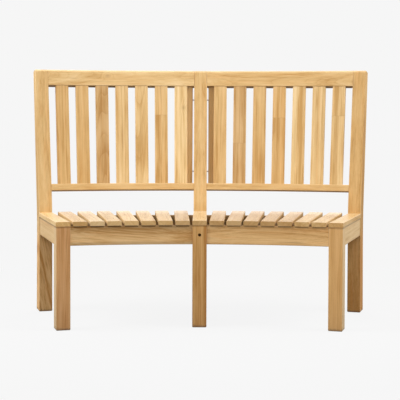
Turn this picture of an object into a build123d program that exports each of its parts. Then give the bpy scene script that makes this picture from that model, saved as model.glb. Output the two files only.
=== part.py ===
# High-back garden bench, bowed in plan, in solid hardwood.
# Millimetres, +Z up, the sitter faces -Y. The origin lies on the floor, under the middle of the bench.
# Seat, aprons and back are laid out around one vertical axis that stands in front of the bench.
import os
from math import cos, degrees, radians, sin
from build123d import *

# Seat
seat_height = 450.0
seat_depth = 488.0  # front edge of the seat to the front faces of the rear posts
front_radius = 2000.0  # plan radius of the seat's front edge
seat_front_length = 1139.0  # along that edge, between the middles of the outer legs
slats_per_half = 7
seat_slat_gap = 10.6  # between neighbours, at the front edge
seat_slat_thickness = 20.0
slat_overrun = 20.0  # length of slat that lies past the fronts of the posts, on the rear apron

# Back
total_height = 1100.0
recline = 11.0  # degrees
knee_rise = 25.0  # top of the seat to the bend of the posts
top_rail_height = 75.0
lower_rail_height = 30.0
lower_rail_rise = 75.0  # bend of the posts to the underside of the lower rail
back_rail_thickness = 45.0
back_slat_width = 59.5
back_slat_thickness = 20.0
back_slat_set_back = 1.5  # behind the fronts of the rails

# Posts and legs
post_width = 60.0
post_depth_foot = 78.0
post_depth_seat = 67.0
post_depth_top = 54.0
post_flare_height = 310.0  # below this the back of the post spreads towards the foot
post_back_bend_drop = 40.0  # the bend on the back lies this much below the bend on the front
leg_width = 60.0
leg_depth = 60.0

# Frame under the seat
apron_height = 80.0
front_apron_thickness = 26.0
front_apron_set_back = 6.0  # behind the fronts of the legs
rear_apron_thickness = 28.0
rear_apron_set_back = 4.0  # behind the fronts of the posts
side_apron_thickness = 26.0
side_apron_set_back = 3.0  # inside the outer faces of the legs
cross_rail_thickness = 28.0

# Stiles beside the middle post
stile_width = 34.0
stile_thickness = 19.0
stile_gap = 7.0  # open gap between stile and post
stile_play = 2.5  # between a stile and the backs of the slats

# Tenons
apron_tenon_length = 22.0
apron_tenon_thickness = 10.0
apron_shoulder = 14.0
cross_tenon_length = 12.0
cross_tenon_thickness = 8.0
rail_tenon_length = 24.0
rail_tenon_thickness = 12.0
rail_shoulder = 7.0
slat_tenon_length = 15.0
slat_tenon_thickness = 9.0
slat_shoulder = 6.0
stile_tenon_thickness = 9.0
seat_tenon_width = 24.0  # the loose tenons between the seat slats and the frame
seat_tenon_thickness = 8.0
seat_tenon_depth_in_slat = 11.0
seat_tenon_depth_in_frame = 10.0
end_tenon_distance = 40.0  # from the post to the rear tenon of the middle and end slats

# Bolts and inserts
stile_bolt_radius = 3.0
stile_bolt_head_radius = 5.8  # to the corners of the hexagon
stile_bolt_head_height = 4.0
stile_bolt_end_margin = 60.0  # from either rail to the nearer bolt
insert_radius = 5.0
insert_length = 16.0
insert_overreach = 2.0  # bolt end to the bottom of the insert
leg_bolt_radius = 4.0
leg_bolt_head_radius = 6.5
leg_bolt_head_height = 8.0
leg_bolt_recess_radius = 7.0
leg_bolt_recess_depth = 12.0
barrel_nut_radius = 6.0
barrel_nut_length = 20.0
barrel_nut_distance = 30.0  # from the front end of the cross rail
leg_bolt_tail = 4.0  # bolt length past the barrel nut

# Edges and fits
edge_bevel = 2.0
slat_bevel = 2.0
slat_end_bevel = 1.5
foot_bevel = 3.0
top_round = 12.0  # along the top front edge of rails and posts
top_back_round = 4.0  # along the top back edge of the posts
front_knee_radius = 250.0
back_knee_radius = 500.0
flare_radius = 900.0
fit_gap = 0.2
shoulder_gap = 0.3  # between the flat top ends of the slats and the bowed underside of the top rail

# Angles and radii about the bench's axis
end_angle = degrees(seat_front_length / 2 / front_radius)
slat_angle = end_angle / (slats_per_half + 1)
seat_slat_width = radians(slat_angle) * front_radius - seat_slat_gap
post_radius = front_radius + seat_depth
leg_back_radius = front_radius + leg_depth

# Heights
frame_top = seat_height - seat_slat_thickness
frame_bottom = frame_top - apron_height
frame_middle = frame_top - apron_height / 2
knee_height = seat_height + knee_rise

# Lengths along the reclined back, counted up from the bend of the posts
lean_sin = sin(radians(recline))
lean_cos = cos(radians(recline))
corner_rise = top_round * (lean_sin + lean_cos - 1)  # what the rounded top edge takes off the height
back_top = (total_height + corner_rise - knee_height) / lean_cos
top_rail_low = back_top - top_rail_height
lower_rail_high = lower_rail_rise + lower_rail_height
slat_high = top_rail_low - shoulder_gap
stile_front = back_slat_set_back + back_slat_thickness + stile_play
stile_bolt_depth = stile_front + stile_thickness / 2
stile_bolt_ups = (lower_rail_high + stile_bolt_end_margin, top_rail_low - stile_bolt_end_margin)

# The axis stands so that the origin is in the middle of the bench from front to back
post_top_front = (post_radius + back_top * lean_sin, knee_height + back_top * lean_cos)
post_top_back = (post_top_front[0] + post_depth_top * lean_cos, post_top_front[1] - post_depth_top * lean_sin)
half_front = max(leg_width, seat_slat_width) / 2
front_reach = front_radius * cos(radians(end_angle)) - half_front * sin(radians(end_angle))
axis_y = -(front_reach + post_top_back[0]) / 2
bench_axis = Axis((0, axis_y, 0), (0, 0, 1))


def directions(angle):
    """Unit vectors at an angle round the bench's axis: away from the axis, and sideways to the right."""
    turn = radians(angle)
    return Vector(sin(turn), cos(turn), 0), Vector(cos(turn), -sin(turn), 0)


def station(angle, sideways=0.0):
    """Upright plane through the axis: x is the radius, y the height, z points sideways to the right."""
    away, right = directions(angle)
    return Plane(origin=bench_axis.position + right * sideways, x_dir=away, z_dir=right)


def back_station(angle, sideways=0.0):
    """The same plane set on the reclined back: x goes in from its front face, y up along the recline."""
    away, right = directions(angle)
    bend = bench_axis.position + away * post_radius + right * sideways + Vector(0, 0, knee_height)
    inward = away * lean_cos - Vector(0, 0, lean_sin)
    return Plane(origin=bend, x_dir=inward, z_dir=right)


def lengthwise(angle, radius, height, sideways=0.0):
    """Plane across a level board: x points sideways, z runs along the board, away from the axis."""
    away, right = directions(angle)
    start = bench_axis.position + away * radius + right * sideways + Vector(0, 0, height)
    return Plane(origin=start, x_dir=right, z_dir=away)


def level(angle, radius, height, sideways=0.0):
    """Level plane at a place on the bench: x points sideways, z up."""
    away, right = directions(angle)
    start = bench_axis.position + away * radius + right * sideways + Vector(0, 0, height)
    return Plane(origin=start, x_dir=right, z_dir=(0, 0, 1))


def block(plane, x_span, y_span, z_span, grow=0.0):
    """Box between pairs of coordinates on a plane. A mortise is its tenon's block, grown by the fit."""
    spans = (x_span, y_span, z_span)
    with BuildPart(plane) as piece:
        with Locations(tuple(sum(span) / 2 for span in spans)):
            Box(*(abs(span[1] - span[0]) + 2 * grow for span in spans))
    return piece.part


def around(middle, size):
    """Span of a size about its middle."""
    return middle - size / 2, middle + size / 2


def rod(plane, x, y, z_span, radius, hexagonal=False):
    """Round or six-sided bar between two heights on a plane."""
    with BuildPart() as piece:
        with BuildSketch(plane.offset(z_span[0])):
            with Locations((x, y)):
                if hexagonal:
                    RegularPolygon(radius, 6)
                else:
                    Circle(radius)
        extrude(amount=z_span[1] - z_span[0])
    return piece.part


def save(part, name):
    part.label = name
    export_step(part, f"parts/{name}.step")


def save_pair(part, name):
    """Writes the right-hand piece and its mirror image."""
    save(part, f"{name}_right")
    with BuildPart() as left:
        mirror(part, about=Plane.YZ)
    save(left.part, f"{name}_left")


def tenoned_board(board, tenons):
    with BuildPart() as piece:
        add(board)
        for tenon in tenons:
            add(tenon)
    return piece.part


def mortised(body, cuts):
    with BuildPart() as piece:
        add(body)
        for cut in cuts:
            add(cut, mode=Mode.SUBTRACT)
    return piece.part


# Tenons of the aprons. The middle leg and post take one from each side.
apron_tenon_heights = (frame_bottom + apron_shoulder, frame_top - apron_shoulder)


def apron_tenon(angle, half_width, inner_radius, thickness, toward, grow=0.0):
    """Tenon of a curved apron in the side of a leg or post. toward is 1 for a face on its right."""
    radii = around(inner_radius + thickness / 2, apron_tenon_thickness)
    depth = (toward * half_width, toward * (half_width - apron_tenon_length))
    return block(station(angle), radii, apron_tenon_heights, depth, grow)


front_apron_radius = front_radius + front_apron_set_back
rear_apron_radius = post_radius + rear_apron_set_back


def front_tenon(angle, toward, grow=0.0):
    return apron_tenon(angle, leg_width / 2, front_apron_radius, front_apron_thickness, toward, grow)


def rear_tenon(angle, toward, grow=0.0):
    return apron_tenon(angle, post_width / 2, rear_apron_radius, rear_apron_thickness, toward, grow)


side_apron_middle = leg_width / 2 - side_apron_set_back - side_apron_thickness / 2


def side_tenon(at_post, grow=0.0):
    """Tenon at the front or rear end of the side apron."""
    sides = around(side_apron_middle, apron_tenon_thickness)
    if at_post:
        radii = (post_radius, post_radius + apron_tenon_length)
    else:
        radii = (leg_back_radius - apron_tenon_length, leg_back_radius)
    return block(station(end_angle), radii, apron_tenon_heights, sides, grow)


def cross_tenon(at_post, grow=0.0):
    """Short tenon at the front or rear end of the middle cross rail."""
    sides = around(0, cross_tenon_thickness)
    if at_post:
        radii = (post_radius, post_radius + cross_tenon_length)
    else:
        radii = (leg_back_radius - cross_tenon_length, leg_back_radius)
    return block(station(0), radii, apron_tenon_heights, sides, grow)


def rail_tenon(low, high, grow=0.0):
    """Tenon of a back rail in the inner side of the right-hand post."""
    depth = around(back_rail_thickness / 2, rail_tenon_thickness)
    plane = back_station(end_angle, -post_width / 2)
    return block(plane, depth, (low + rail_shoulder, high - rail_shoulder), (0, rail_tenon_length), grow)


def slat_tenons(number, grow=0.0):
    """Tenons at the two ends of a back slat."""
    depth = around(back_slat_set_back + back_slat_thickness / 2, slat_tenon_thickness)
    sides = around(0, back_slat_width - 2 * slat_shoulder)
    plane = back_station(slat_angle * number)
    low = block(plane, depth, (lower_rail_high - slat_tenon_length, lower_rail_high), sides, grow)
    high = block(plane, depth, (slat_high, top_rail_low + slat_tenon_length), sides, grow)
    return low, high


stile_side = (post_width / 2 + stile_gap, post_width / 2 + stile_gap + stile_width)


def stile_tenons(grow=0.0):
    depth = around(stile_bolt_depth, stile_tenon_thickness)
    sides = (stile_side[0] + slat_shoulder, stile_side[1] - slat_shoulder)
    plane = back_station(0)
    low = block(plane, depth, (lower_rail_high - slat_tenon_length, lower_rail_high), sides, grow)
    high = block(plane, depth, (slat_high, top_rail_low + slat_tenon_length), sides, grow)
    return low, high


# Loose tenons of the seat slats: one into the front of the frame, one into the back
seat_tenon_heights = (frame_top - seat_tenon_depth_in_frame, frame_top + seat_tenon_depth_in_slat)
front_seat_tenon_radius = front_apron_radius + front_apron_thickness / 2
rear_seat_tenon_radius = post_radius + (rear_apron_set_back + slat_overrun) / 2
end_seat_tenon_radius = post_radius - end_tenon_distance


def front_seat_tenon(number, grow=0.0):
    radii = around(front_seat_tenon_radius, seat_tenon_thickness)
    sides = around(0, seat_tenon_width)
    return block(station(slat_angle * number), radii, seat_tenon_heights, sides, grow)


def rear_seat_tenon(number, grow=0.0):
    """The middle and end slats lie lengthwise on a board, so there the tenon is turned along the slat."""
    if number % (slats_per_half + 1):
        radii = around(rear_seat_tenon_radius, seat_tenon_thickness)
        sides = around(0, seat_tenon_width)
    else:
        radii = around(end_seat_tenon_radius, seat_tenon_width)
        sides = around(side_apron_middle * number / (slats_per_half + 1), seat_tenon_thickness)
    return block(station(slat_angle * number), radii, seat_tenon_heights, sides, grow)


# Bolts between the inner stiles and the middle post
insert_bottom = post_width / 2 - insert_length


def stile_bolt_rod(up, span, radius, toward=1, hexagonal=False):
    """Bar on the line of a stile bolt, between two distances from the bench's middle."""
    z_span = (toward * span[0], toward * span[1])
    return rod(back_station(0), stile_bolt_depth, up, z_span, radius, hexagonal)


# Bolt through the middle leg into the cross rail
leg_bolt_seat = front_radius + leg_bolt_recess_depth
barrel_nut_place = leg_back_radius + barrel_nut_distance
leg_bolt_end = barrel_nut_place + barrel_nut_radius + leg_bolt_tail


def leg_bolt_rod(span, radius):
    return rod(lengthwise(0, 0, frame_middle), 0, 0, span, radius)


def barrel_nut_rod(span, radius):
    return rod(station(0), barrel_nut_place, frame_middle, span, radius)


def rear_post(angle, cuts):
    """Post with a straight front up to the seat, a spread foot and a reclined upper part that tapers."""
    back_bend_height = knee_height - post_back_bend_drop
    corners = {
        (post_radius, 0): 0,
        (post_radius, knee_height): front_knee_radius,
        post_top_front: top_round,
        post_top_back: top_back_round,
        (post_radius + post_depth_seat, back_bend_height): back_knee_radius,
        (post_radius + post_depth_seat, post_flare_height): flare_radius,
        (post_radius + post_depth_foot, 0): 0,
    }
    with BuildPart() as post:
        with BuildSketch(station(angle)):
            with BuildLine():
                FilletPolyline(*corners, radius=tuple(corners.values()), close=True)
            make_face()
        extrude(amount=post_width / 2, both=True)
        sides = post.faces().sort_by(SortBy.AREA)[-2:]
        chamfer([edge for edge in sides.edges() if edge.center().Z > foot_bevel], length=edge_bevel)
        chamfer(post.faces().sort_by(Axis.Z)[0].edges(), length=foot_bevel)
    return mortised(post.part, cuts)


def front_leg(angle, cuts):
    with BuildPart() as leg:
        with BuildSketch(level(angle, front_radius + leg_depth / 2, 0)):
            section = Rectangle(leg_width, leg_depth)
            chamfer(section.vertices(), length=edge_bevel)
        extrude(amount=frame_top)
        chamfer(leg.faces().sort_by(Axis.Z)[0].edges(), length=foot_bevel)
    return mortised(leg.part, cuts)


def bowed(plane, corners, inner_cut, outer_cut):
    """Bar turned round the bench's axis, sawn off against the pieces at its two ends.

    The section is given by its corners, each with its rounding.
    """
    with BuildPart() as bar:
        with BuildSketch(plane):
            with BuildLine():
                FilletPolyline(*corners, radius=tuple(corners.values()), close=True)
            make_face()
        revolve(axis=bench_axis, revolution_arc=end_angle)
        split(bisect_by=inner_cut, keep=Keep.TOP)
        split(bisect_by=outer_cut, keep=Keep.BOTTOM)
    return bar.part


def back_rail(low, high, front_corners):
    """Right-hand back rail: its inner end butts on the middle post, its outer end has a tenon."""
    thick = back_rail_thickness
    corners = {
        (edge_bevel, low): 0,
        (0, low + edge_bevel): 0,
        **front_corners,
        (thick - edge_bevel, high): 0,
        (thick, high - edge_bevel): 0,
        (thick, low + edge_bevel): 0,
        (thick - edge_bevel, low): 0,
    }
    inner_cut = station(0, post_width / 2)
    outer_cut = station(end_angle, -post_width / 2)
    rail = bowed(back_station(end_angle), corners, inner_cut, outer_cut)
    return tenoned_board(rail, [rail_tenon(low, high)])


def curved_apron(inner_radius, thickness, half_width, tenon):
    """Right-hand front or rear apron, tenoned at both ends."""
    outer_radius = inner_radius + thickness
    corners = {
        (inner_radius, frame_bottom + edge_bevel): 0,
        (inner_radius, frame_top): 0,
        (outer_radius, frame_top): 0,
        (outer_radius, frame_bottom + edge_bevel): 0,
        (outer_radius - edge_bevel, frame_bottom): 0,
        (inner_radius + edge_bevel, frame_bottom): 0,
    }
    inner_cut = station(0, half_width)
    outer_cut = station(end_angle, -half_width)
    apron = bowed(station(end_angle), corners, inner_cut, outer_cut)
    return tenoned_board(apron, [tenon(0, 1), tenon(end_angle, -1)])


def straight_apron(angle, sideways, thickness, tenons):
    """Level board from the back of a front leg to the front of the post behind it."""
    with BuildPart() as board:
        with BuildSketch(lengthwise(angle, leg_back_radius, frame_middle, sideways)):
            Rectangle(thickness, apron_height)
        extrude(amount=post_radius - leg_back_radius)
        chamfer(board.faces().sort_by(Axis.Z)[0].edges().sort_by(SortBy.LENGTH)[-2:], length=edge_bevel)
    return tenoned_board(board.part, tenons)


def seat_slat(number):
    """Level board that lies on the frame. The middle and end slats stop against their posts."""
    at_post = number % (slats_per_half + 1) == 0
    length = seat_depth if at_post else seat_depth + slat_overrun
    angle = slat_angle * number
    with BuildPart() as slat:
        with BuildSketch(lengthwise(angle, front_radius, frame_top + seat_slat_thickness / 2)):
            section = Rectangle(seat_slat_width, seat_slat_thickness)
            chamfer(section.vertices(), length=slat_bevel)
        extrude(amount=length)
        front_end = slat.faces().sort_by_distance(lengthwise(angle, front_radius, frame_top).origin)[0]
        chamfer(front_end.edges(), length=slat_end_bevel)
    return mortised(slat.part, [front_seat_tenon(number, fit_gap), rear_seat_tenon(number, fit_gap)])


def back_slat(number):
    """Reclined board between the two back rails."""
    plane = back_station(slat_angle * number)
    foot = plane.from_local_coords((back_slat_set_back + back_slat_thickness / 2, lower_rail_high, 0))
    with BuildPart() as slat:
        with BuildSketch(Plane(origin=foot, x_dir=plane.z_dir, z_dir=plane.y_dir)):
            section = Rectangle(back_slat_width, back_slat_thickness)
            chamfer(section.vertices(), length=slat_bevel)
        extrude(amount=slat_high - lower_rail_high)
    return tenoned_board(slat.part, slat_tenons(number))


def inner_stile():
    """Board beside the middle post, at the back of the rails, drilled for its two bolts."""
    plane = back_station(0, sum(stile_side) / 2)
    foot = plane.from_local_coords((stile_bolt_depth, lower_rail_high, 0))
    with BuildPart() as stile:
        with BuildSketch(Plane(origin=foot, x_dir=plane.z_dir, z_dir=plane.y_dir)):
            section = Rectangle(stile_width, stile_thickness)
            chamfer(section.vertices(), length=slat_bevel)
        extrude(amount=slat_high - lower_rail_high)
    holes = [stile_bolt_rod(up, stile_side, stile_bolt_radius + fit_gap) for up in stile_bolt_ups]
    return mortised(tenoned_board(stile.part, stile_tenons()), holes)


os.makedirs("parts", exist_ok=True)
end = slats_per_half + 1
numbers = range(1, end)

# Rear posts
insert_holes = []
for up in stile_bolt_ups:
    for toward in (1, -1):
        insert_holes.append(stile_bolt_rod(up, (insert_bottom, post_width / 2), insert_radius + fit_gap, toward))
middle_post_cuts = [rear_tenon(0, 1, fit_gap), rear_tenon(0, -1, fit_gap), cross_tenon(True, fit_gap)]
save(rear_post(0, middle_post_cuts + insert_holes), "rear_post_middle")
end_post_cuts = [
    rear_tenon(end_angle, -1, fit_gap),
    side_tenon(True, fit_gap),
    rail_tenon(top_rail_low, back_top, fit_gap),
    rail_tenon(lower_rail_rise, lower_rail_high, fit_gap),
]
save_pair(rear_post(end_angle, end_post_cuts), "rear_post")

# Front legs
middle_leg_cuts = [
    front_tenon(0, 1, fit_gap),
    front_tenon(0, -1, fit_gap),
    cross_tenon(False, fit_gap),
    leg_bolt_rod((front_radius, leg_bolt_seat), leg_bolt_recess_radius),
    leg_bolt_rod((leg_bolt_seat, leg_back_radius), leg_bolt_radius + fit_gap),
    front_seat_tenon(0, fit_gap),
]
save(front_leg(0, middle_leg_cuts), "front_leg_middle")
end_leg_cuts = [
    front_tenon(end_angle, -1, fit_gap),
    side_tenon(False, fit_gap),
    front_seat_tenon(end, fit_gap),
]
save_pair(front_leg(end_angle, end_leg_cuts), "front_leg")

# Frame under the seat
front_apron = curved_apron(front_apron_radius, front_apron_thickness, leg_width / 2, front_tenon)
save_pair(mortised(front_apron, [front_seat_tenon(n, fit_gap) for n in numbers]), "front_apron")
rear_apron = curved_apron(rear_apron_radius, rear_apron_thickness, post_width / 2, rear_tenon)
save_pair(mortised(rear_apron, [rear_seat_tenon(n, fit_gap) for n in numbers]), "rear_apron")
side_tenons = [side_tenon(False), side_tenon(True)]
side_apron = straight_apron(end_angle, side_apron_middle, side_apron_thickness, side_tenons)
save_pair(mortised(side_apron, [rear_seat_tenon(end, fit_gap)]), "side_apron")
cross_rail = straight_apron(0, 0, cross_rail_thickness, [cross_tenon(False), cross_tenon(True)])
nut_span = (cross_rail_thickness / 2 - barrel_nut_length, cross_rail_thickness / 2)
cross_rail_cuts = [
    leg_bolt_rod((leg_back_radius - cross_tenon_length, leg_bolt_end + fit_gap), leg_bolt_radius + fit_gap),
    barrel_nut_rod(nut_span, barrel_nut_radius + fit_gap),
    rear_seat_tenon(0, fit_gap),
]
save(mortised(cross_rail, cross_rail_cuts), "middle_cross_rail")

# Back
slat_mortises = [slat_tenons(n, fit_gap) for n in numbers] + [stile_tenons(fit_gap)]
top_rail = back_rail(top_rail_low, back_top, {(0, back_top): top_round})
save_pair(mortised(top_rail, [high for low, high in slat_mortises]), "top_rail")
lower_corners = {(0, lower_rail_high - edge_bevel): 0, (edge_bevel, lower_rail_high): 0}
lower_rail = back_rail(lower_rail_rise, lower_rail_high, lower_corners)
save_pair(mortised(lower_rail, [low for low, high in slat_mortises]), "lower_back_rail")
save_pair(inner_stile(), "inner_stile")
for n in numbers:
    save_pair(back_slat(n), f"back_slat_{n}")

# Seat
save(seat_slat(0), "seat_slat_middle")
for n in numbers:
    save_pair(seat_slat(n), f"seat_slat_{n}")
save_pair(seat_slat(end), "seat_slat_end")

# Fasteners
with BuildPart() as seat_tenons:
    for n in range(-end, end + 1):
        add(front_seat_tenon(n))
        add(rear_seat_tenon(n))
save(seat_tenons.part, "seat_tenons")

bolt_span = (insert_bottom + insert_overreach, stile_side[1])
head_span = (stile_side[1], stile_side[1] + stile_bolt_head_height)
insert_span = (insert_bottom, post_width / 2)
with BuildPart() as stile_bolts:
    for up in stile_bolt_ups:
        for toward in (1, -1):
            add(stile_bolt_rod(up, bolt_span, stile_bolt_radius, toward))
            add(stile_bolt_rod(up, head_span, stile_bolt_head_radius, toward, hexagonal=True))
save(stile_bolts.part, "stile_bolts")
with BuildPart() as post_inserts:
    for up in stile_bolt_ups:
        for toward in (1, -1):
            add(stile_bolt_rod(up, insert_span, insert_radius, toward))
            add(stile_bolt_rod(up, insert_span, stile_bolt_radius + fit_gap, toward), mode=Mode.SUBTRACT)
save(post_inserts.part, "post_inserts")

with BuildPart() as leg_bolt:
    add(leg_bolt_rod((leg_bolt_seat - leg_bolt_head_height, leg_bolt_seat), leg_bolt_head_radius))
    add(leg_bolt_rod((leg_bolt_seat, leg_bolt_end), leg_bolt_radius))
save(leg_bolt.part, "leg_bolt")
with BuildPart() as barrel_nut:
    add(barrel_nut_rod(nut_span, barrel_nut_radius))
    add(leg_bolt_rod((leg_back_radius, leg_bolt_end), leg_bolt_radius + fit_gap), mode=Mode.SUBTRACT)
save(barrel_nut.part, "barrel_nut")
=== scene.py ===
import math

import bpy
import numpy as np
from mathutils import Matrix, Vector


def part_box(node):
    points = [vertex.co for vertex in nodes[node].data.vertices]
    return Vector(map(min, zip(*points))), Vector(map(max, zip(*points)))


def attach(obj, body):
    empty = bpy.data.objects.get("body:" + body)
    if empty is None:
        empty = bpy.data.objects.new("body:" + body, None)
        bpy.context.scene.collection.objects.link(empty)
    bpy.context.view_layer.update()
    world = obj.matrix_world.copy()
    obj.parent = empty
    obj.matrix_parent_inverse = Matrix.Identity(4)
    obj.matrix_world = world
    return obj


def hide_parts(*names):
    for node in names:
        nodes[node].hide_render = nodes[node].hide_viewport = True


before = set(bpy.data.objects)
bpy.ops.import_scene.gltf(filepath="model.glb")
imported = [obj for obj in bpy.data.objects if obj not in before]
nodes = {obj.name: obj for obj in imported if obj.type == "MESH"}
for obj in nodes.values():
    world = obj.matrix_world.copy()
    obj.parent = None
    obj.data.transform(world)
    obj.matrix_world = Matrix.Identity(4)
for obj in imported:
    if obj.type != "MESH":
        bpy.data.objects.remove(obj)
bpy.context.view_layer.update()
print("bench loaded:", len(nodes), "nodes")


# a shader socket that takes part in plain sums
class Sock:
    def __init__(self, tree, link=None):
        self.tree = tree
        self.link = link

    # any node: its type, its settings, then the values or links of its sockets
    def make(self, kind, settings=None, sockets=None, out=0):
        node = self.tree.nodes.new(kind)
        for key, value in (settings or {}).items():
            if key == "stops":
                ramp = node.color_ramp.elements
                while len(ramp) < len(value):
                    ramp.new(0.5)
                for element, (place, colour) in zip(ramp, value):
                    element.position = place
                    element.color = (*colour, 1.0)
            else:
                setattr(node, key, value)
        for key, value in (sockets or {}).items():
            if isinstance(value, Sock):
                self.tree.links.new(value.link, node.inputs[key])
            else:
                node.inputs[key].default_value = value
        return Sock(self.tree, node.outputs[out] if node.outputs else None)

    def maths(self, operation, first, second=0.0):
        return self.make("ShaderNodeMath", {"operation": operation}, {0: first, 1: second})

    def vectors(self, operation, first, second, out="Vector"):
        return self.make("ShaderNodeVectorMath", {"operation": operation}, {0: first, 1: second}, out)

    # one part of this vector: X, Y or Z
    def part(self, axis):
        return self.make("ShaderNodeSeparateXYZ", None, {0: self}, axis)

    # this colour, mixed or multiplied with another
    def tint(self, share, other, mode="MIX"):
        return self.make("ShaderNodeMix", {"data_type": "RGBA", "blend_type": mode}, {
            0: share, 6: self, 7: (*other, 1)}, out=2)

    def __add__(self, other):
        return self.maths("ADD", self, other)

    def __radd__(self, other):
        return self.maths("ADD", other, self)

    def __sub__(self, other):
        return self.maths("SUBTRACT", self, other)

    def __rsub__(self, other):
        return self.maths("SUBTRACT", other, self)

    def __mul__(self, other):
        return self.maths("MULTIPLY", self, other)

    def __rmul__(self, other):
        return self.maths("MULTIPLY", other, self)

    def __truediv__(self, other):
        return self.maths("DIVIDE", self, other)

    def __rtruediv__(self, other):
        return self.maths("DIVIDE", other, self)

    def __pow__(self, other):
        return self.maths("POWER", self, other)

    def __rpow__(self, other):
        return self.maths("POWER", other, self)

    def __abs__(self):
        return self.maths("ABSOLUTE", self)

    def fract(self):
        return self.maths("FRACT", self)

    def clamp(self, low=0.0, high=1.0):
        return self.maths("MINIMUM", self.maths("MAXIMUM", self, low), high)

    # nought up to a value, from there growing by this gain to one
    def rise(self, start, gain):
        return ((self - start) * gain).clamp()

    # the other way round: one well below a value, nought from there on
    def fall(self, start, gain):
        return ((start - self) * gain).clamp()

    # bell curve: one where this is nought, thinning out on both sides
    def bell(self):
        return math.e ** (0.0 - self ** 2.0)


# a new material with nothing in it, and the socket that its nodes are made from
def emptyMaterial(name):
    material = bpy.data.materials.new(name)
    material.use_nodes = True
    material.node_tree.nodes.clear()
    return material, Sock(material.node_tree)


def addObject(name, data):
    added = bpy.data.objects.new(name, data)
    bpy.context.scene.collection.objects.link(added)
    return added


# how the bench is laid out: one vertical axis in front of it, boards fanned round it
bench = {
    "axisY": -2.28693,
    "slatAngle": 2.03937,  # degrees from one slat to the next
    "slatsPerHalf": 7,
    "recline": 11.0,  # degrees
    "postGrain": 6.0,  # the posts are sawn from straight planks, whose grain leans about half as much
    "postRadius": 2.488,  # from the axis to the front of the rear posts at the seat
}

# layers of the grain: stretches per metre along and across the board, detail and roughness of the noise
grain = {
    "bend": (2.6, 11.0, 2.0, 0.5),
    "drift": (4.6, 26.0, 3.0, 0.5),
    "streak": (2.7, 125.0, 3.0, 0.6),
    "mineral": (2.4, 80.0, 2.0, 0.5),
    "fleck": (8.0, 330.0, 2.0, 0.5),
    "fibre": (15.0, 900.0, 2.0, 0.5),
    "pore": (60.0, 2300.0, 1.0, 0.5),
    "blush": (1.6, 70.0, 2.0, 0.5),
}

# the wood: sizes and heights in metres, where a layer starts with its gain, and how strongly each one shows
hardwood = {
    "ringWidth": 0.0058,
    "ringLine": 4.0,  # power that thins the late wood of a ring to a line
    "ringBands": 0.45,  # bands of tone in a ring
    "bandDetail": 2.0,
    "bend": 0.022,
    "driftShow": 1.18,
    "streakShow": 0.92,
    "bandShow": 0.70,
    "fleckShow": 0.62,
    "fibreShow": 0.50,
    "lineShow": 0.20,
    "lift": 0.04,  # makes up for the dark lines
    "stops": (0.12, 0.5, 0.88),  # of the figure, from deep over the board's own tone to pale
    "deep": (0.74, 0.63, 0.48),  # times that tone
    "pale": (1.13, 1.22, 1.42),
    "blush": (0.0, 4.0),
    "blushShow": 0.60,
    "blushColour": (1.05, 0.93, 0.82),
    "mineral": (0.13, 6.0),
    "mineralShow": 0.55,
    "mineralColour": (0.36, 0.205, 0.085),
    "pore": (-0.13, 9.0),
    "poreShow": 0.30,
    "poreColour": (0.30, 0.165, 0.07),
    # pale colour of the painted light on the narrow sides
    "paintedSideLightColour": (0.64, 0.45, 0.225),
    "endColour": (1.12, 1.03, 0.88),  # the ends are warmer
    "foot": (0.40, 12.0),  # below this height the rear legs are a little redder: partly stain, partly painted warm light bounced under the seat
    "stainAndBounceColour": (1.13, 1.01, 0.93),
    # eased edges are painted paler: partly wear, partly painted highlight where they catch the light
    "wearAndSheenShow": 0.20,
    "wearAndSheenColour": (0.84, 0.68, 0.45),
    "rubbed": (1.06, 100.0),  # above this height the rounded top edge is painted paler, a painted highlight where it catches the light
    "topEdgeHighlightShow": 0.25,
}

# how the wood feels: shares of roughness, then of the relief
feel = {
    "fibreRough": 0.25,
    "poreRough": 0.12,
    "endRough": 0.15,
    "easedSmooth": 0.05,
    "relief": 0.0006,
    "reliefShow": 0.35,
    "fibreHigh": 0.8,
    "poreLow": 0.6,
    "lineLow": 0.3,
}

# marks of single boards: glued end joints, knots, grain that sweeps aside, patches
marks = {
    "jointGain": 4000.0,
    "jointRings": 5.4,  # past a joint the rings start elsewhere
    "jointLine": 0.00111,  # half width of the glue line
    "jointShow": 0.40,
    "jointColour": (0.40, 0.24, 0.11),
    "knotLong": 0.6,  # knots are drawn out along the board
    "knotRings": 2.6,  # rings that bulge round a knot
    "knotBulge": 0.35,
    "knotCore": 2.2,
    "knotShow": 0.55,
    "sweepGain": 20.0,
    "sweepStreak": 1.2,
    "sweepLift": 0.10,
    "patchFigure": 0.6,
}

# each board's own luck: two numbers by steps of the golden section, which move its growth about
luck = {
    "step": 0.618034,
    "start": 0.27,
    "heartAcross": (0.7, 0.6),  # least share of the cut's own distance, and how much luck adds
    "heartThrough": (0.8, 0.5),
    "shift": (7.3, 3.1, 5.7),
    "jointShift": (3.7, 1.9, 2.3),
    "bandShift": 31.0,
}

# masks by the way a face looks: where they start, and their gain
faces = {"end": (0.5, 4.0), "eased": (0.05, 4.0), "upper": (0.5, 3.0), "under": (-0.5, 3.0)}

# how a board was sawn from the log: where the heart lies from its middle, and how that drifts along it
cuts = {
    "quarter": {"heart": (0.240, 0.020), "slope": (0.012, 0.004)},
    "rift": {"heart": (0.095, 0.070), "slope": (0.030, 0.020)},
    "flat": {"heart": (0.014, 0.060), "slope": (0.012, 0.045)},
}

tones = {
    "sap": (0.790, 0.547, 0.258),
    "pale": (0.700, 0.484, 0.228),
    "straw": (0.670, 0.453, 0.209),
    "honey": (0.630, 0.409, 0.177),
    "amber": (0.594, 0.367, 0.147),
    "umber": (0.549, 0.344, 0.150),
    "cream": (0.640, 0.435, 0.208),
    "ivory": (0.640, 0.462, 0.248),
    "butter": (0.590, 0.400, 0.188),
    "biscuit": (0.510, 0.330, 0.150),
    "apron": (0.800, 0.488, 0.203),
    "cedar": (0.750, 0.430, 0.163),
    "rose": (0.655, 0.346, 0.139),
    "tan": (0.640, 0.346, 0.114),
}

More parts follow.
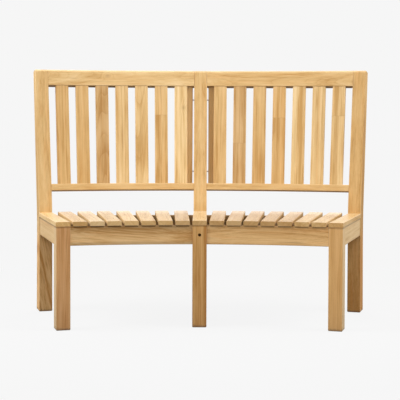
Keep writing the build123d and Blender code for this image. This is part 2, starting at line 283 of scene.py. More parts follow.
# roughness of upper faces, specular level, roughness of the other faces: the back is dry, the frame sanded,
# the seat rubbed smooth on top by use
polishes = {"dry": (0.62, 0.08, 0.62), "sanded": (0.50, 0.16, 0.50), "rubbed": (0.31, 0.30, 0.75)}

# tone, cut, polish and liveliness of the figure of each kind of board
kinds = {
    "back_slat": ("honey", "quarter", "dry", 1.0),
    "inner_stile": ("honey", "quarter", "dry", 0.8),
    "top_rail": ("straw", "rift", "dry", 0.75),
    "lower_back_rail": ("honey", "quarter", "dry", 0.7),
    "rear_post": ("honey", "quarter", "dry", 0.8),
    "front_leg": ("rose", "rift", "sanded", 0.75),
    "front_apron": ("apron", "rift", "sanded", 1.0),
    "rear_apron": ("umber", "rift", "sanded", 0.8),
    "side_apron": ("honey", "rift", "sanded", 0.6),
    "middle_cross_rail": ("umber", "rift", "sanded", 0.8),
    "seat_slat": ("butter", "rift", "rubbed", 0.7),
    "seat_tenons": ("rose", "rift", "sanded", 0.8),
}

# where a patch on a seat slat lies, and its half length: at the front end, at that of the three shorter
# slats in front of posts, or all over
slatFront = (-0.256, 0.008)
shortFront = (-0.246, 0.008)
wholeSlat = (0.0, 0.40)

# boards that differ from their kind, in tone, cut, liveliness and:
# joint, a glued end joint (along, step in tone)
# knot (along, across, radius)
# streaks, dark ones of heartwood or, below nought, pale ones of sapwood (across, half width, depth)
# patch, a dark or, below nought, pale one (along, half length, depth)
# paintedPaleSides, the narrow sides painted paler, painted light falling on them (share)
# sweep, grain that sweeps aside below a place (along, slope)
# paintedShadeAndEdge, more or less than others have (painted shade in the line and fading below it,
# darkening on the lower edge)
ownLooks = {
    "back_slat_7_left": {"tone": "amber"},
    "back_slat_6_left": {"tone": "amber", "cut": "rift"},
    "back_slat_5_left": {"tone": "umber", "cut": "flat"},
    "back_slat_4_left": {"tone": "straw", "streaks": [(0.010, 0.006, -0.18)]},
    "back_slat_3_left": {"tone": "straw", "cut": "flat", "patch": (-0.075, 0.110, 0.30)},
    "back_slat_2_left": {"joint": (0.092, 0.22), "cut": "rift"},
    "back_slat_1_left": {"tone": "pale", "knot": (0.127, 0.012, 0.010)},
    "back_slat_2_right": {"tone": "umber", "joint": (-0.040, 0.09)},
    "back_slat_3_right": {"cut": "rift", "patch": (-0.150, 0.120, 0.28)},
    "back_slat_4_right": {"tone": "amber", "joint": (0.080, 0.20)},
    "back_slat_5_right": {"tone": "pale", "cut": "rift", "streaks": [(0.012, 0.010, 0.60)]},
    "back_slat_6_right": {"tone": "straw"},
    "back_slat_7_right": {"tone": "straw", "joint": (0.090, -0.16), "streaks": [(-0.012, 0.009, 0.35)]},
    "rear_post_left": {"sweep": (-0.10, 0.20), "streaks": [(-0.062, 0.005, 0.50)]},
    "rear_post_right": {"tone": "amber", "patch": (-0.55, 0.26, 0.30), "streaks": [(0.036, 0.005, 0.42)]},
    "inner_stile_left": {"tone": "sap"},
    "top_rail_left": {"cut": "flat", "knot": (-0.052, 0.014, 0.009)},
    "top_rail_right": {"tone": "honey", "cut": "flat"},
    "front_leg_left": {"paintedPaleSides": 0.85},
    # on the middle leg the first two streaks darken it along its two long edges
    "front_leg_middle": {"tone": "tan", "lively": 1.15,
                         "streaks": [(0.0275, 0.004, 0.55), (-0.028, 0.003, 0.35), (0.012, 0.011, 0.13)]},
    "front_leg_right": {"tone": "cedar", "lively": 0.6, "paintedPaleSides": 0.85},
    "front_apron_left": {"paintedShadeAndEdge": (1.0, 2.0, 1.0), "sweep": (0.20, 0.09),
                         "streaks": [(0.007, 0.017, 0.44), (-0.041, 0.009, -0.25)]},
    "front_apron_right": {"paintedShadeAndEdge": (0.55, 0.1, 0.0), "patch": (0.14, 0.14, 0.08),
                          "streaks": [(0.012, 0.012, 0.12), (-0.020, 0.014, -0.08)]},
    "side_apron_right": {"tone": "straw"},
    "seat_slat_end_left": {"tone": "pale", "patch": (*shortFront, 0.14)},
    "seat_slat_end_right": {"tone": "cream", "patch": (*shortFront, 0.20)},
    # the dark patch at the front end of the middle slat is painted shade, where it meets the top of the
    # middle leg
    "seat_slat_middle": {"tone": "ivory", "patch": (*shortFront, 0.24)},
    "seat_slat_7_left": {"cut": "flat", "patch": (*slatFront, 0.16)},
    "seat_slat_6_left": {"tone": "ivory", "patch": (*slatFront, -0.18)},
    "seat_slat_5_left": {"patch": (*slatFront, -0.24)},
    "seat_slat_4_left": {"tone": "cream", "patch": (*slatFront, -0.12)},
    "seat_slat_3_left": {"cut": "flat"},
    "seat_slat_1_left": {"tone": "biscuit", "patch": (*slatFront, -0.35)},
    "seat_slat_1_right": {"tone": "biscuit"},
    "seat_slat_2_right": {"tone": "biscuit", "patch": (*slatFront, -0.35)},
    "seat_slat_3_right": {"tone": "biscuit", "patch": (*wholeSlat, 0.08)},
    "seat_slat_4_right": {"tone": "biscuit", "patch": (*wholeSlat, 0.08)},
    "seat_slat_5_right": {"tone": "biscuit", "cut": "flat"},
}


def kindOf(name):
    return next(kind for kind in kinds if name.startswith(kind))


# what one board looks like: as its kind does, apart from its own looks
def looksOf(name):
    shared = dict(zip(("tone", "cut", "polish", "lively"), kinds[kindOf(name)]))
    return {**shared, **ownLooks.get(name, {})}


# which way a board points: fan angle from its name, then the directions along, across and through it
def boardAxes(name):
    kind = kindOf(name)
    side = -1 if name.endswith("_left") else 1
    numbers = [int(word) for word in name.split("_") if word.isdigit()]
    bowed = kind in ("top_rail", "lower_back_rail", "front_apron", "rear_apron")
    if numbers:
        steps = numbers[0]
    elif bowed:
        steps = (bench["slatsPerHalf"] + 1) / 2
    elif "middle" in name or kind in ("inner_stile", "seat_tenons"):
        steps = 0
    else:
        steps = bench["slatsPerHalf"] + 1
    fan = math.radians(bench["slatAngle"] * steps * side)
    away = Vector((math.sin(fan), math.cos(fan), 0))
    right = Vector((math.cos(fan), -math.sin(fan), 0))
    lean = 0.0
    if kind in ("back_slat", "inner_stile", "top_rail", "lower_back_rail"):
        lean = math.radians(bench["recline"])
    elif kind == "rear_post":
        lean = math.radians(bench["postGrain"])
    rise = away * math.sin(lean) + Vector((0, 0, 1)) * math.cos(lean)
    if kind in ("back_slat", "inner_stile", "rear_post", "front_leg"):
        along, across = rise, right
    elif bowed:
        along, across = right, rise
    elif kind in ("side_apron", "middle_cross_rail"):
        along, across = away, rise
    else:
        along, across = away, right
    return along, across, along.cross(across)


# painted shade where parts of the bench shade each other, soil at the feet, and darker lower parts: how far
# each reaches, in metres, and how strongly it shows
shadeAndDirt = {
    # dark brown of the painted shade, also of the darker lower edge of the aprons
    "colour": (0.105, 0.048, 0.010),
    "line": 0.0075,  # painted shadow, a dark line down from the underside of the seat slats
    "lineGain": 250.0,
    "lineShow": {"front_apron": 0.80, "side_apron": 0.45, "front_leg": 0.45},
    "slatShare": 0.82,  # of a step of the fan: the painted shadow lies under the slats only, and light through the gaps leaves the apron lit between
    "slatGain": 14.0,
    "fade": 0.035,  # painted shade thinning out below that line
    "fadeShadeShow": 0.20,
    "lowerEdge": 0.0155,  # darker along the lower edge of the aprons
    "lowerEdgeGain": 150.0,
    "lowerEdgeShow": 0.28,
    "legShare": 0.42,  # half a leg's width in steps of the fan
    # painted shade in the corners where the front aprons meet the legs
    "legCorner": 0.067,  # in steps
    "legCornerShadeShow": 0.40,
    # painted shade in the corner where the side aprons meet the rear posts
    "postCorner": 0.014,
    "postCornerShadeShow": 0.50,
    "gapTop": 0.005,  # painted shade starts this far down the sides of a slat
    "gapReach": 0.012,
    "gapShadeShow": 0.50,
    # painted shade on the undersides of the back rails
    "underShadeShow": 0.55,
    # soil at the feet, partly painted shade where they meet the floor; also the colour of the darkening
    # near the floor
    "soilAndShadeColour": (0.16, 0.10, 0.06),
    "soilAndShadeTop": 0.012,
    "soilAndShadeGain": 160.0,
    "soilAndShadeFleck": 3.0,  # uneven upper edge
    "soilAndShadeShow": 0.55,
    "nearFloor": 0.12,  # front legs darker towards the floor
    "nearFloorShow": 0.20,
}


# painted shade under and between the parts, soil at the feet, and darker lower parts
def shadedAndSoiled(shop, name, colour, place, upward, sideFace, fleck):
    kind = kindOf(name)
    # shares of the painted shade in the line and below it, and of the darker lower edge
    lineShadeShare, fadeShadeShare, lowerEdgeShare = looksOf(name).get("paintedShadeAndEdge", (1.0, 1.0, 1.0))
    bottom, top = (corner.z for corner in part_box(name))
    east, north, height = (place.part(axis) for axis in "XYZ")
    north = north - bench["axisY"]
    # soil at the feet, partly painted contact shade
    if kind in ("rear_post", "front_leg"):
        soilAndShade = ((shadeAndDirt["soilAndShadeTop"] - height) * shadeAndDirt["soilAndShadeGain"] + fleck * shadeAndDirt["soilAndShadeFleck"]).clamp()
        colour = colour.tint(soilAndShade * shadeAndDirt["soilAndShadeShow"], shadeAndDirt["soilAndShadeColour"])
    # front legs darker towards the floor
    if kind == "front_leg":
        nearFloor = math.e ** (height / -shadeAndDirt["nearFloor"])
        colour = colour.tint(nearFloor * shadeAndDirt["nearFloorShow"], shadeAndDirt["soilAndShadeColour"])
    # painted shade on the downward faces of the back rails
    if kind in ("top_rail", "lower_back_rail"):
        under = upward.fall(*faces["under"])
        colour = colour.tint(under * shadeAndDirt["underShadeShow"], shadeAndDirt["colour"])
    # painted shade down the sides of the seat slats, in the gaps between them
    if kind == "seat_slat" and "end" not in name:
        gapShade = ((top - shadeAndDirt["gapTop"] - height) / shadeAndDirt["gapReach"]).clamp()
        colour = colour.tint(sideFace * gapShade * shadeAndDirt["gapShadeShow"], shadeAndDirt["colour"])
    # painted shadow of the seat slats on the aprons and front legs below them, broken at the gaps on the
    # front aprons
    if kind in shadeAndDirt["lineShow"]:
        line = height.rise(top - shadeAndDirt["line"], shadeAndDirt["lineGain"])
        if kind == "side_apron":
            # painted shade in the corner by the rear post
            gap = bench["postRadius"] - (east * east + north * north) ** 0.5
            corner = (1.0 - gap / shadeAndDirt["postCorner"]).clamp()
            colour = colour.tint(corner * shadeAndDirt["postCornerShadeShow"], shadeAndDirt["colour"])
        if kind == "front_apron":
            steps = shop.maths("ARCTAN2", east, north) / math.radians(bench["slatAngle"])
            aside = abs((steps + 0.5).fract() - 0.5) * 2.0  # nought in the middle of a slat, one in a gap
            line = line * aside.fall(shadeAndDirt["slatShare"], shadeAndDirt["slatGain"])
            # painted shade of the seat slats, fading down the front aprons
            fade = math.e ** ((height - top) / shadeAndDirt["fade"])
            colour = colour.tint(fade * (shadeAndDirt["fadeShadeShow"] * fadeShadeShare), shadeAndDirt["colour"])
            # darker along the lower edge of the front aprons
            lowerEdge = height.fall(bottom + shadeAndDirt["lowerEdge"], shadeAndDirt["lowerEdgeGain"])
            colour = colour.tint(lowerEdge * (shadeAndDirt["lowerEdgeShow"] * lowerEdgeShare), shadeAndDirt["colour"])
            # painted shade in the corners beside the legs
            side = abs(steps)
            gap = shop.maths("MINIMUM", side, bench["slatsPerHalf"] + 1 - side) - shadeAndDirt["legShare"]
            corner = (1.0 - gap / shadeAndDirt["legCorner"]).clamp()
            colour = colour.tint(corner * shadeAndDirt["legCornerShadeShow"], shadeAndDirt["colour"])
        colour = colour.tint(line * (shadeAndDirt["lineShow"][kind] * lineShadeShare), shadeAndDirt["colour"])
    return colour


# how one board grew: nested rings about a heart line beside it, drawn out into streaks, fibres and pores
def boardGrain(shop, name, order, place):
    own = looksOf(name)
    sawn = cuts[own["cut"]]
    seed = (order * luck["step"]) % 1.0
    other = (order * (1.0 - luck["step"]) + luck["start"]) % 1.0
    flip = 1 if seed > 0.5 else -1
    leastAcross, moreAcross = luck["heartAcross"]
    leastThrough, moreThrough = luck["heartThrough"]
    heartAcross = flip * sawn["heart"][0] * (leastAcross + moreAcross * other)
    heartThrough = sawn["heart"][1] * (leastThrough + moreThrough * seed)
    slopeAcross = sawn["slope"][0] * (2 * other - 1)
    slopeThrough = flip * sawn["slope"][1]

    # metres along, across and through the board from the middle of its box
    low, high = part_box(name)
    turn = Matrix(boardAxes(name)).transposed()
    local = shop.make("ShaderNodeMapping", {"vector_type": "TEXTURE"}, {
        "Vector": place, "Location": (low + high) / 2, "Rotation": turn.to_euler("XYZ")})
    x, y, z = (local.part(axis) for axis in "XYZ")
    if "sweep" in own:
        sweepAlong, sweepSlope = own["sweep"]
        y = y + (x - sweepAlong).clamp(-1.0, 0.0) * sweepSlope
        local = shop.make("ShaderNodeCombineXYZ", None, {0: x, 1: y, 2: z})
    shiftAlong, shiftAcross, shiftThrough = luck["shift"]
    start = (shiftAlong * seed + order, shiftAcross * other, shiftThrough * seed)
    board = shop.vectors("ADD", local, start)
    if "joint" in own:
        jointAlong, jointStep = own["joint"]
        past = x.rise(jointAlong, marks["jointGain"])
        shift = shop.make("ShaderNodeVectorMath", {"operation": "SCALE"}, {
            0: luck["jointShift"], "Scale": past})
        board = shop.vectors("ADD", board, shift)

    # one layer of the grain, about nought
    def noise(layer):
        alongStretch, acrossStretch, detail, rough = grain[layer]
        drawn = shop.vectors("MULTIPLY", board, (alongStretch, acrossStretch, acrossStretch))
        return shop.make("ShaderNodeTexNoise", None, {
            "Vector": drawn, "Scale": 1.0, "Detail": detail, "Roughness": rough}) - 0.5

    bend = noise("bend") * hardwood["bend"]
    width = y - heartAcross - x * slopeAcross
    depth = z - heartThrough - x * slopeThrough
    rings = ((width * width + depth * depth) ** 0.5 + bend) / hardwood["ringWidth"]
    if "joint" in own:
        rings = rings + past * marks["jointRings"]
    if "knot" in own:
        knotAlong, knotAcross, knotRadius = own["knot"]
        lengthwise = (x - knotAlong) * marks["knotLong"] / knotRadius
        crosswise = (y - knotAcross) / knotRadius
        reach = lengthwise ** 2.0 + crosswise ** 2.0
        rings = rings + marks["knotRings"] * math.e ** (reach * -marks["knotBulge"])
    line = (1.0 - rings.fract()) ** hardwood["ringLine"]
    band = shop.make("ShaderNodeTexNoise", {"noise_dimensions": "1D"}, {
        "W": rings * hardwood["ringBands"] + luck["bandShift"] * seed,
        "Scale": 1.0, "Detail": hardwood["bandDetail"]}) - 0.5
    drift = noise("drift")
    streak = noise("streak")
    fleck = noise("fleck")
    fibre = noise("fibre")

    figure = 0.5 + own["lively"] * (
        drift * hardwood["driftShow"] + streak * hardwood["streakShow"] + band * hardwood["bandShow"]
        + fleck * hardwood["fleckShow"] + fibre * hardwood["fibreShow"] + hardwood["lift"]
        - line * hardwood["lineShow"])
    if "joint" in own:
        figure = figure + (past - 0.5) * jointStep
    if "sweep" in own:
        swept = x.fall(sweepAlong, marks["sweepGain"])
        figure = figure + swept * (streak * marks["sweepStreak"] + marks["sweepLift"])
    for streakAcross, streakHalf, streakDepth in own.get("streaks", []):
        inside = ((y - streakAcross + bend) / streakHalf).bell()
        figure = figure - inside * (streakDepth + drift)
    if "patch" in own:
        patchAlong, patchHalf, patchDepth = own["patch"]
        inside = ((x - patchAlong) / patchHalf).bell()
        figure = figure - inside * (patchDepth + (drift + streak) * marks["patchFigure"])

    layers = {
        "figure": figure,
        "line": line,
        "fleck": fleck,
        "fibre": fibre,
        "blush": noise("blush").rise(*hardwood["blush"]),
        "mineral": noise("mineral").rise(*hardwood["mineral"]),
        "pore": noise("pore").fall(*hardwood["pore"]),
    }
    if "joint" in own:
        layers["joint"] = ((x - jointAlong) / marks["jointLine"]).bell()
    if "knot" in own:
        layers["knot"] = math.e ** (reach * -marks["knotCore"])
    return layers


# oiled hardwood: the figure runs from deep to pale about the board's tone, then come blush, mineral lines,
# pores and the marks of this board
def woodMaterial(name, order):
    own = looksOf(name)
    lively = own["lively"]
    body = tones[own["tone"]]
    deep = tuple(a * b for a, b in zip(body, hardwood["deep"]))
    pale = tuple(a * b for a, b in zip(body, hardwood["pale"]))
    material, shop = emptyMaterial("hardwood_" + name)
    place = shop.make("ShaderNodeTexCoord", out="Object")
    layers = boardGrain(shop, name, order, place)
    fibre, pore = layers["fibre"], layers["pore"]
    stops = list(zip(hardwood["stops"], (deep, body, pale)))
    colour = shop.make("ShaderNodeValToRGB", {"stops": stops}, {0: layers["figure"]})
    blush = layers["blush"] * (hardwood["blushShow"] * lively)
    colour = colour.tint(blush, hardwood["blushColour"], "MULTIPLY")
    mineral = layers["mineral"] * (hardwood["mineralShow"] * lively)
    colour = colour.tint(mineral, hardwood["mineralColour"])
    colour = colour.tint(pore * hardwood["poreShow"], hardwood["poreColour"])
    if "joint" in layers:
        colour = colour.tint(layers["joint"] * marks["jointShow"], marks["jointColour"])
    if "knot" in layers:
        colour = colour.tint(layers["knot"] * marks["knotShow"], hardwood["mineralColour"])

    # ends, narrow sides painted paler with painted light, and eased edges, by the way each face looks
    facing = shop.make("ShaderNodeTexCoord", out="Normal")
    alongFace, acrossFace, throughFace = (
        shop.vectors("DOT_PRODUCT", facing, axis, "Value") ** 2.0 for axis in boardAxes(name))
    cutEnd = alongFace.rise(*faces["end"])
    slanted = alongFace * acrossFace + alongFace * throughFace + acrossFace * throughFace
    eased = slanted.rise(*faces["eased"])
    colour = colour.tint(cutEnd, hardwood["endColour"], "MULTIPLY")
    # painted light: the narrow sides painted paler, as if lit from the side
    if "paintedPaleSides" in own:
        colour = colour.tint(acrossFace * own["paintedPaleSides"], hardwood["paintedSideLightColour"])
    height = place.part("Z")
    # eased edges painted paler, partly wear, partly painted highlight; above the top rail's height a
    # painted highlight on its rounded edge
    wearAndHighlight = hardwood["wearAndSheenShow"] + height.rise(*hardwood["rubbed"]) * hardwood["topEdgeHighlightShow"]
    colour = colour.tint(eased * wearAndHighlight, hardwood["wearAndSheenColour"])
    # rear legs under the seat: partly stain, partly painted warm bounce light
    if kindOf(name) == "rear_post":
        colour = colour.tint(height.fall(*hardwood["foot"]), hardwood["stainAndBounceColour"], "MULTIPLY")
    upward = facing.part("Z")
    colour = shadedAndSoiled(shop, name, colour, place, upward, acrossFace, layers["fleck"])

    roughness, specular, unrubbed = polishes[own["polish"]]
    rough = unrubbed + upward.rise(*faces["upper"]) * (roughness - unrubbed)
    rough = rough + fibre * feel["fibreRough"] + pore * feel["poreRough"]
    rough = rough + cutEnd * feel["endRough"] - eased * feel["easedSmooth"]
    relief = fibre * feel["fibreHigh"] - pore * feel["poreLow"] - layers["line"] * feel["lineLow"]
    bump = shop.make("ShaderNodeBump", None, {
        "Strength": feel["reliefShow"] * lively, "Distance": feel["relief"], "Height": relief})
    shader = shop.make("ShaderNodeBsdfPrincipled", None, {
        "Base Color": colour, "Roughness": rough, "Specular IOR Level": specular, "Normal": bump})
    shop.make("ShaderNodeOutputMaterial", None, {"Surface": shader})
    return material


# skin of all metal pieces: fine scratches and broad stains, per metre, and how strongly they show
metalSkin = {
    "scratch": (900.0, 300.0, 300.0),
    "scratchDetail": 3.0,
    "scratchRough": 0.3,
    "relief": 0.0002,
    "reliefShow": 0.2,
    "stain": 160.0,
    "stainDetail": 2.0,
    "stainShow": 1.2,
    "stainDark": 0.72,
    "stops": (0.3, 0.7),
}


# turned metal: fine lines, which run round the stile bolts, and darker where it is stained
def metalMaterial(name, colour, roughness):
    material, shop = emptyMaterial(name)
    place = shop.make("ShaderNodeTexCoord", out="Object")
    drawn = shop.vectors("MULTIPLY", place, metalSkin["scratch"])
    scratch = shop.make("ShaderNodeTexNoise", None, {
        "Vector": drawn, "Scale": 1.0, "Detail": metalSkin["scratchDetail"]}) - 0.5
    stain = shop.make("ShaderNodeTexNoise", None, {
        "Vector": place, "Scale": metalSkin["stain"], "Detail": metalSkin["stainDetail"]}) - 0.5
    dark = tuple(metalSkin["stainDark"] * part for part in colour)
    stops = list(zip(metalSkin["stops"], (dark, colour)))
    tint = shop.make("ShaderNodeValToRGB", {"stops": stops}, {0: 0.5 + stain * metalSkin["stainShow"]})
    bump = shop.make("ShaderNodeBump", None, {
        "Strength": metalSkin["reliefShow"], "Distance": metalSkin["relief"], "Height": scratch})
    shader = shop.make("ShaderNodeBsdfPrincipled", None, {
        "Base Color": tint, "Metallic": 1.0, "Roughness": roughness + scratch * metalSkin["scratchRough"],
        "Normal": bump})
    shop.make("ShaderNodeOutputMaterial", None, {"Surface": shader})
    return material


def dress(name, material):
    mesh = nodes[name].data
    mesh.materials.clear()
    mesh.materials.append(material)


# colour and roughness of each metal piece
metals = {
    "stile_bolts": ((0.60, 0.58, 0.55), 0.42),
    "leg_bolt": ((0.075, 0.036, 0.012), 0.60),
    "barrel_nut": ((0.27, 0.26, 0.25), 0.35),
    "post_inserts": ((0.48, 0.30, 0.085), 0.35),
}
for order, name in enumerate(sorted(nodes)):
    if name in metals:
        dress(name, metalMaterial("metal_" + name, *metals[name]))
    else:
        dress(name, woodMaterial(name, order))
print("boards and bolts dressed")

# the bolts below are measured in millimetres from the face of their heads
millimetre = 0.001
sharpEdge = 32  # degrees


# one ring of a turned shell: its place and radius, how far it is a hexagon, depth of its knurls and thread
def station(place, radius, hexagon=0, knurl=0, thread=0):
    return place, radius, hexagon, knurl, thread


# a turned shell: at each station along the axis a ring of the given radius; a hexagon's radius is cos 30
# over the cosine of the angle from the middle of its flat; knurls and threads are triangle waves taken off
def turnedShell(stations, sides, start, axis, up, pitch=1.0, knurls=0):
    place, radius, hexagon, knurl, thread = (np.array(column) for column in zip(*stations))
    turn = np.arange(sides) * (2 * np.pi / sides)
    flat = np.cos(np.pi / 6) / np.cos(turn % (np.pi / 3) - np.pi / 6)
    tooth = np.abs(2 * ((knurls * turn / (2 * np.pi)) % 1) - 1)
    helix = np.abs(2 * ((place[:, None] / pitch - turn / (2 * np.pi)) % 1) - 1)
    ring = radius[:, None] * (1 + hexagon[:, None] * (flat - 1))
    ring = ring - knurl[:, None] * tooth - thread[:, None] * helix
    start, axis, up = np.array(start), np.array(axis), np.array(up)
    aside = np.cross(axis, up)
    outward = np.cos(turn)[:, None] * up + np.sin(turn)[:, None] * aside
    points = start + millimetre * (place[:, None, None] * axis + ring[:, :, None] * outward)
    return points[0, 0], points[1:-1].reshape(-1, 3), points[-1, 0], sides


# joins shells into one piece: quads between rings, fans of triangles at both closed ends
def turnedPiece(name, shells, material):
    points, faceLists, first = [], [], 0
    for headPole, rings, tailPole, sides in shells:
        count = len(rings)
        points += [headPole[None], rings, tailPole[None]]
        grid = first + 1 + np.arange(count).reshape(-1, sides)
        after = np.roll(grid, -1, axis=1)
        quads = np.stack([grid[:-1], after[:-1], after[1:], grid[1:]], axis=-1).reshape(-1, 4)
        headFan = np.stack([np.full(sides, first), after[0], grid[0]], axis=-1)
        tailFan = np.stack([np.full(sides, first + 1 + count), grid[-1], after[-1]], axis=-1)
        faceLists += quads.tolist() + headFan.tolist() + tailFan.tolist()
        first += count + 2
    mesh = bpy.data.meshes.new(name)
    mesh.from_pydata(np.concatenate(points).tolist(), [], faceLists)
    mesh.shade_smooth()
    mesh.set_sharp_from_angle(angle=math.radians(sharpEdge))
    mesh.materials.append(material)
    piece = addObject(name, mesh)
    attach(piece, "root")
    return piece


# what all shanks share: rings in one pitch, room before the thread, its run-out, the cone of the tip
shank = {"ringsPerPitch": 4, "relief": 0.3, "runOut": 0.8, "cone": 0.6, "taper": 0.5}


# shank of a bolt: smooth under the head, cut with a thread to its tip, the tip coned
def shankStations(bolt, length, begin):
    radius = bolt["radius"]
    tip = radius - bolt["bite"]
    spacing = bolt["pitch"] / shank["ringsPerPitch"]
    cut = np.arange(length - bolt["thread"], length - shank["runOut"], spacing)
    return [
        station(begin, radius),
        station(cut[0] - shank["relief"], radius),
        *(station(place, radius, thread=bolt["bite"]) for place in cut),
        station(length - shank["cone"], tip),
        station(length, tip - shank["taper"]),
        station(length, 0),
    ]


# hexagon bolts that draw the inner stiles to the middle post
stileBolt = {
    "head": 4.0,
    "corner": 5.8,  # radius to the corners of the hexagon
    "bevel": 0.84,  # of that radius, where the bevel ends
    "bevelTop": 0.5,
    "bevelUnder": 0.3,
    "length": 59.0,
    "radius": 3.0,
    "thread": 24.0,
    "pitch": 1.0,
    "bite": 0.5,
    "sides": 24,
}
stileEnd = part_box("stile_bolts")[1].x

# a lower and an upper row, in line with the inserts of the post
insertRadius = 0.005
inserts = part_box("post_inserts")
rows = [(inserts[0].y + insertRadius, inserts[0].z + insertRadius),
        (inserts[1].y - insertRadius, inserts[1].z - insertRadius)]
lean = math.radians(bench["recline"])
upTheBack = (0.0, math.sin(lean), math.cos(lean))
corner = stileBolt["corner"]
bevelled = corner * stileBolt["bevel"]
headHeight = stileBolt["head"]
stileStations = [
    station(0.0, 0.0),
    station(0.0, bevelled),
    station(stileBolt["bevelTop"], corner, hexagon=1),
    station(headHeight - stileBolt["bevelUnder"], corner, hexagon=1),
    station(headHeight, bevelled),
    station(headHeight, stileBolt["radius"]),
    *shankStations(stileBolt, stileBolt["length"], headHeight + shank["relief"]),
]
stileShells = [
    turnedShell(stileStations, stileBolt["sides"], (side * stileEnd, y, z), (-side, 0, 0), upTheBack,
                stileBolt["pitch"])
    for y, z in rows for side in (-1, 1)]
stileBolts = turnedPiece("stile_bolts_turned", stileShells, nodes["stile_bolts"].data.materials[0])
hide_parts("stile_bolts")

# bolt with a knurled crown and a socket, in the recess of the middle leg
legBolt = {
    "head": 8.0,
    "crown": 6.5,
    "domeIn": 0.8,  # the crown's upper edge is rounded by this much, down to its lip
    "domeTop": 0.6,
    "lip": 0.1,
    "knurls": 36,
    "tooth": 0.15,
    "knurlTop": 0.9,
    "knurlUnder": 0.7,
    "chamfer": 0.3,
    "socket": 3.46,  # radius to the corners
    "socketDepth": 4.5,
    "sink": 1.0,  # the shank starts inside the crown
    "radius": 4.0,
    "thread": 28.0,
    "pitch": 1.25,
    "bite": 0.6,
    "crownSides": 72,
    "sides": 24,
}
boltLow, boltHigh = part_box("leg_bolt")
face = ((boltLow.x + boltHigh.x) / 2, boltLow.y, (boltLow.z + boltHigh.z) / 2)
boltLength = (boltHigh.y - boltLow.y) / millimetre
crown, socket, tooth = legBolt["crown"], legBolt["socket"], legBolt["tooth"]
headHeight, chamfer = legBolt["head"], legBolt["chamfer"]
shankStart = headHeight - legBolt["sink"]
crownStations = [
    station(legBolt["socketDepth"], 0, hexagon=1),
    station(legBolt["socketDepth"], socket, hexagon=1),
    station(chamfer, socket, hexagon=1),
    station(0.0, socket + chamfer),
    station(0.0, crown - legBolt["domeIn"]),
    station(legBolt["domeTop"], crown - legBolt["lip"]),
    station(legBolt["knurlTop"], crown, knurl=tooth),
    station(headHeight - legBolt["knurlUnder"], crown, knurl=tooth),
    station(headHeight, crown - chamfer),
    station(headHeight, 0),
]
tailStations = [station(shankStart, 0), *shankStations(legBolt, boltLength, shankStart)]
legShells = [
    turnedShell(crownStations, legBolt["crownSides"], face, (0, 1, 0), (0, 0, 1), knurls=legBolt["knurls"]),
    turnedShell(tailStations, legBolt["sides"], face, (0, 1, 0), (0, 0, 1), legBolt["pitch"])]
legBoltPiece = turnedPiece("leg_bolt_turned", legShells, nodes["leg_bolt"].data.materials[0])
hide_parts("leg_bolt")
print("bolts turned and threaded")

# pale studio: an even pale grey all round, with the bench's soft shadow near its feet
studio = {
    "pale": 0.9216,
    "ambient": 0.28,  # what the air throws at the bench
    "floorHalf": 30.0,
    "floorDrop": 0.0005,  # a hair below the feet
    "floorColour": 0.80,
    "bounce": 0.07,  # what the floor throws back at the bench
    "shadowShare": 0.05,
    "shadowReach": (0.7, 1.9),  # metres from the middle, between which it fades away
}


# one for rays that see the studio itself, nought for those that light the bench
def showing(shop):
    rays = ("Is Camera Ray", "Is Glossy Ray", "Is Transmission Ray")
    seen, mirrored, through = (shop.make("ShaderNodeLightPath", out=ray) for ray in rays)
    return (seen + mirrored + through).clamp()


# a glowing floor that lets a little of the matt one through near the bench, for its shadow
def floorMaterial():
    material, shop = emptyMaterial("studio_floor")
    place = shop.make("ShaderNodeTexCoord", out="Object")
    reach = shop.make("ShaderNodeVectorMath", {"operation": "LENGTH"}, {0: place}, out="Value")
    shadowFrom, shadowTo = studio["shadowReach"]
    near = shop.make("ShaderNodeMapRange", {"interpolation_type": "SMOOTHSTEP"}, {
        "Value": reach, "From Min": shadowFrom, "From Max": shadowTo,
        "To Min": studio["shadowShare"], "To Max": 0.0})
    seen = shop.make("ShaderNodeLightPath", out="Is Camera Ray")
    grey = seen * studio["floorColour"] + (1.0 - seen) * studio["bounce"]
    matt = shop.make("ShaderNodeBsdfDiffuse", None, {"Color": grey})
    glow = shop.make("ShaderNodeEmission", None, {"Color": (studio["pale"],) * 3 + (1,), "Strength": 1.0})
    mixed = shop.make("ShaderNodeMixShader", None, {0: showing(shop) * (1.0 - near), 1: matt, 2: glow})
    shop.make("ShaderNodeOutputMaterial", None, {"Surface": mixed})
    return material


half = studio["floorHalf"]
floorCorners = [(-half, -half, 0), (half, -half, 0), (half, half, 0), (-half, half, 0)]
floorMesh = bpy.data.meshes.new("studio_floor")
floorMesh.from_pydata(floorCorners, [], [(0, 1, 2, 3)])
floorMesh.materials.append(floorMaterial())
floor = addObject("studio_floor", floorMesh)
floor.location.z = -studio["floorDrop"]

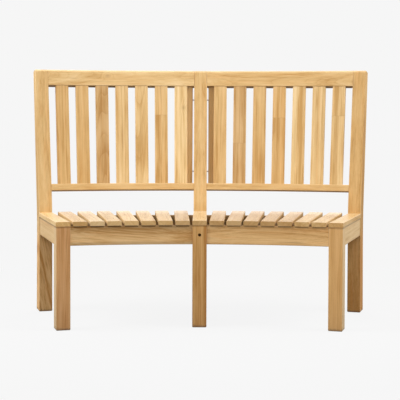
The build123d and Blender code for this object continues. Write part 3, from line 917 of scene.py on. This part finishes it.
world = bpy.data.worlds.new("studio")
bpy.context.scene.world = world
world.use_nodes = True
world.node_tree.nodes.clear()
sky = Sock(world.node_tree)
shown = showing(sky)
strength = shown * studio["pale"] + (1.0 - shown) * studio["ambient"]
air = sky.make("ShaderNodeBackground", None, {"Color": (1, 1, 1, 1), "Strength": strength})
sky.make("ShaderNodeOutputWorld", None, {"Surface": air})

# soft boxes: place, aim, size and power
lamps = {
    "left": {"place": (-2.93, -0.80, 3.17), "aim": (0, 0.1, 0.6), "size": (2.0, 2.0), "power": 163.0},
    "right": {"place": (2.93, -0.80, 3.17), "aim": (0, 0.1, 0.6), "size": (2.0, 2.0), "power": 132.0},
    "front": {"place": (0.0, -4.6, 1.35), "aim": (0, 0, 0.5), "size": (5.0, 2.4), "power": 73.0},
    "rear": {"place": (0.6, 3.4, 2.7), "aim": (0, 0.2, 0.7), "size": (3.4, 1.6), "power": 84.0},
}
for name, lamp in lamps.items():
    data = bpy.data.lights.new(name, "AREA")
    data.shape = "RECTANGLE"
    data.size, data.size_y = lamp["size"]
    data.energy = lamp["power"]
    light = addObject(name, data)
    light.location = lamp["place"]
    beam = Vector(lamp["aim"]) - Vector(lamp["place"])
    light.rotation_euler = beam.to_track_quat("-Z", "Y").to_euler()
    light.visible_camera = False
print("studio lit")

# the photograph's view: a long lens some 0.9 m above the floor, aimed a little down
view = {
    "place": (0.02, bench["axisY"] - 2.8281, 0.8915),
    "tilt": 2.0,  # degrees down
    "roll": 0.200,  # degrees
    "frame": 400.0,  # pixels
    "focal": 1154.8,  # pixels
    "axisAt": (204.65, 155.70),  # pixel of that frame where the lens axis falls
    "sensor": 36.0,  # millimetres
}
lens = bpy.data.cameras.new("camera")
lens.sensor_width = view["sensor"]
lens.lens = view["focal"] / view["frame"] * view["sensor"]
lens.shift_x = 0.5 - view["axisAt"][0] / view["frame"]
lens.shift_y = view["axisAt"][1] / view["frame"] - 0.5
camera = addObject("camera", lens)
tilt = Matrix.Rotation(math.radians(90.0 - view["tilt"]), 4, "X")
roll = Matrix.Rotation(math.radians(view["roll"]), 4, "Z")
camera.matrix_world = Matrix.Translation(view["place"]) @ tilt @ roll
bpy.context.scene.camera = camera
bpy.context.scene.view_settings.view_transform = "Standard"
print("camera set")
